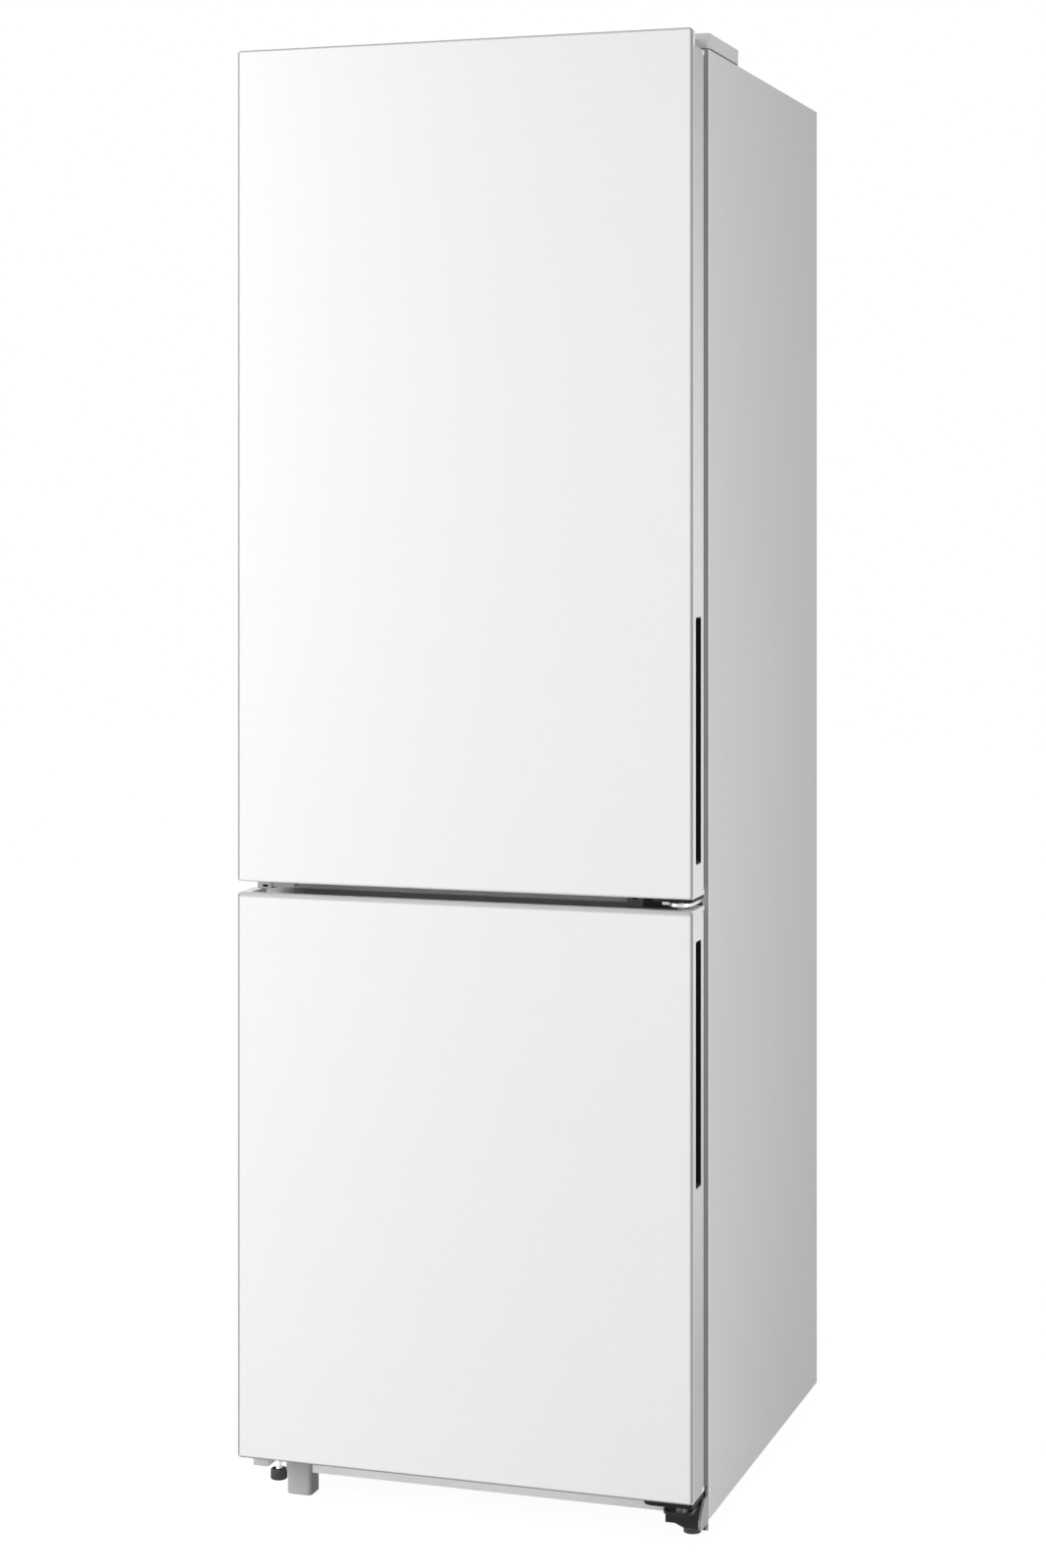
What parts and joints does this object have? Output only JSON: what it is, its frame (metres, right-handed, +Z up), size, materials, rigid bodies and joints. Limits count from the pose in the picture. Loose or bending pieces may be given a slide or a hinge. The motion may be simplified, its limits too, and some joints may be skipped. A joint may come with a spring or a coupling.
{
  "type": "refrigerator",
  "caption": "White bottom-freezer refrigerator with flat side-hinged doors, recessed black side grips, levelling feet and a fitted interior of shelves, bins and drawers.",
  "frame": {"origin": "centre of the bounding box's bottom face, on the floor", "axes": "+X to the viewer's right across the width, +Y towards the back, +Z up; the doors face -Y"},
  "size_m": [0.595, 0.688, 1.855],
  "materials": {
    "door_face": "gloss",
    "door_trim": "satin",
    "case_paint": "satin",
    "base_paint": "satin",
    "mullion_paint": "satin",
    "rear_steel": "satin",
    "foam": "matte",
    "liner_white": "gloss",
    "gasket_rubber": "matte",
    "grip_black": "satin",
    "hinge_steel": "satin",
    "hinge_black": "satin",
    "bright_steel": "polished",
    "cover_white": "satin",
    "leg_grey": "matte",
    "foot_dark": "satin",
    "compressor_black": "satin",
    "mount_rubber": "matte",
    "coil_metal": "satin",
    "fan_plastic": "satin",
    "shelf_glass": "gloss",
    "fitting_white": "satin",
    "lamp_clear": "gloss",
    "button_grey": "satin",
    "drawer_clear": "gloss"
  },
  "bodies": {
    "cabinet": {"outer_case": "case_paint", "back_panel": "rear_steel", "base_pan": "base_paint", "insulation": "foam", "fridge_liner": "liner_white", "freezer_liner": "liner_white", "mullion_cover": "mullion_paint", "top_hinge_bracket": "hinge_steel", "middle_hinge_bracket": "hinge_steel", "bottom_hinge_bracket": "hinge_black", "hinge_pins": "bright_steel", "hinge_screws": "bright_steel", "top_hinge_cover": "cover_white", "front_leg_block": "leg_grey", "compressor": "compressor_black", "compressor_mounts": "mount_rubber", "machine_base": "rear_steel", "condenser": "coil_metal", "fan_motors": "fan_plastic", "drip_pan": "fan_plastic", "machine_cover": "rear_steel", "evaporator": "coil_metal", "evaporator_cover": "fitting_white", "fridge_shelves": "shelf_glass", "shelf_trims": "fitting_white", "air_duct_cover": "fitting_white", "lamp_lens": "lamp_clear", "control_panel": "fitting_white"},
    "fridge_door": {"fridge_door_panel": "door_face", "fridge_door_trims": "door_trim", "fridge_door_caps": "door_trim", "fridge_door_foam": "foam", "fridge_door_liner": "liner_white", "fridge_door_gasket": "gasket_rubber", "fridge_door_grips": "grip_black", "fridge_door_stop": "grip_black", "fridge_door_bin_upper": "drawer_clear", "fridge_door_bin_middle": "drawer_clear", "fridge_door_bin_lower": "drawer_clear"},
    "freezer_door": {"freezer_door_panel": "door_face", "freezer_door_trims": "door_trim", "freezer_door_caps": "door_trim", "freezer_door_foam": "foam", "freezer_door_liner": "liner_white", "freezer_door_gasket": "gasket_rubber", "freezer_door_grips": "grip_black", "freezer_door_stop": "grip_black"},
    "front_left_foot": {"front_left_foot": "foot_dark"},
    "front_right_foot": {"front_right_foot": "foot_dark"},
    "rear_roller_left": {"rear_roller_left": "foot_dark"},
    "rear_roller_right": {"rear_roller_right": "foot_dark"},
    "condenser_fan": {"condenser_fan": "fan_plastic"},
    "evaporator_fan": {"evaporator_fan": "fan_plastic"},
    "control_button_left": {"control_button_left": "button_grey"},
    "control_button_right": {"control_button_right": "button_grey"},
    "crisper_left": {"crisper_left": "drawer_clear"},
    "crisper_right": {"crisper_right": "drawer_clear"},
    "freezer_drawer_top": {"freezer_drawer_top": "drawer_clear"},
    "freezer_drawer_middle": {"freezer_drawer_middle": "drawer_clear"},
    "freezer_drawer_bottom": {"freezer_drawer_bottom": "drawer_clear"}
  },
  "joints": [
    {"name": "fridge_door_hinge", "type": "hinge", "parent": "cabinet", "child": "fridge_door", "pos_m": [0.2755, -0.312, 1.3], "axis": [0, 0, 1], "range_deg": [0, 120]},
    {"name": "freezer_door_hinge", "type": "hinge", "parent": "cabinet", "child": "freezer_door", "pos_m": [0.2755, -0.312, 0.43], "axis": [0, 0, 1], "range_deg": [0, 120]},
    {"name": "crisper_left_slide", "type": "slide", "parent": "cabinet", "child": "crisper_left", "axis": [0, -1, 0], "range_m": [0, 0.21]},
    {"name": "crisper_right_slide", "type": "slide", "parent": "cabinet", "child": "crisper_right", "axis": [0, -1, 0], "range_m": [0, 0.21]},
    {"name": "freezer_drawer_top_slide", "type": "slide", "parent": "cabinet", "child": "freezer_drawer_top", "axis": [0, -1, 0], "range_m": [0, 0.168]},
    {"name": "freezer_drawer_middle_slide", "type": "slide", "parent": "cabinet", "child": "freezer_drawer_middle", "axis": [0, -1, 0], "range_m": [0, 0.168]},
    {"name": "freezer_drawer_bottom_slide", "type": "slide", "parent": "cabinet", "child": "freezer_drawer_bottom", "axis": [0, -1, 0], "range_m": [0, 0.168]},
    {"name": "front_left_foot_turn", "type": "hinge", "parent": "cabinet", "child": "front_left_foot", "pos_m": [-0.2847, -0.239, 0.02], "axis": [0, 0, 1], "continuous": true},
    {"name": "front_right_foot_turn", "type": "hinge", "parent": "cabinet", "child": "front_right_foot", "pos_m": [0.27, -0.239, 0.02], "axis": [0, 0, 1], "continuous": true},
    {"name": "rear_roller_left_roll", "type": "hinge", "parent": "cabinet", "child": "rear_roller_left", "pos_m": [-0.2575, 0.296, 0.02], "axis": [1, 0, 0], "continuous": true},
    {"name": "rear_roller_right_roll", "type": "hinge", "parent": "cabinet", "child": "rear_roller_right", "pos_m": [0.2575, 0.296, 0.02], "axis": [1, 0, 0], "continuous": true},
    {"name": "condenser_fan_spin", "type": "hinge", "parent": "cabinet", "child": "condenser_fan", "pos_m": [0.01, 0.235, 0.1565], "axis": [1, 0, 0], "continuous": true},
    {"name": "evaporator_fan_spin", "type": "hinge", "parent": "cabinet", "child": "evaporator_fan", "pos_m": [0, 0.188, 0.662], "axis": [0, 1, 0], "continuous": true},
    {"name": "control_button_left_push", "type": "slide", "parent": "cabinet", "child": "control_button_left", "axis": [0, 1, 0], "range_m": [0, 0.0012], "stiffness_N_per_m": 400},
    {"name": "control_button_right_push", "type": "slide", "parent": "cabinet", "child": "control_button_right", "axis": [0, 1, 0], "range_m": [0, 0.0012], "stiffness_N_per_m": 400}
  ],
  "couplings": [
    {"joint": "crisper_left_slide", "follows": "fridge_door_hinge", "m_per_rad": 0.1},
    {"joint": "crisper_right_slide", "follows": "fridge_door_hinge", "m_per_rad": 0.1},
    {"joint": "freezer_drawer_top_slide", "follows": "freezer_door_hinge", "m_per_rad": 0.08},
    {"joint": "freezer_drawer_middle_slide", "follows": "freezer_door_hinge", "m_per_rad": 0.08},
    {"joint": "freezer_drawer_bottom_slide", "follows": "freezer_door_hinge", "m_per_rad": 0.08}
  ]
}
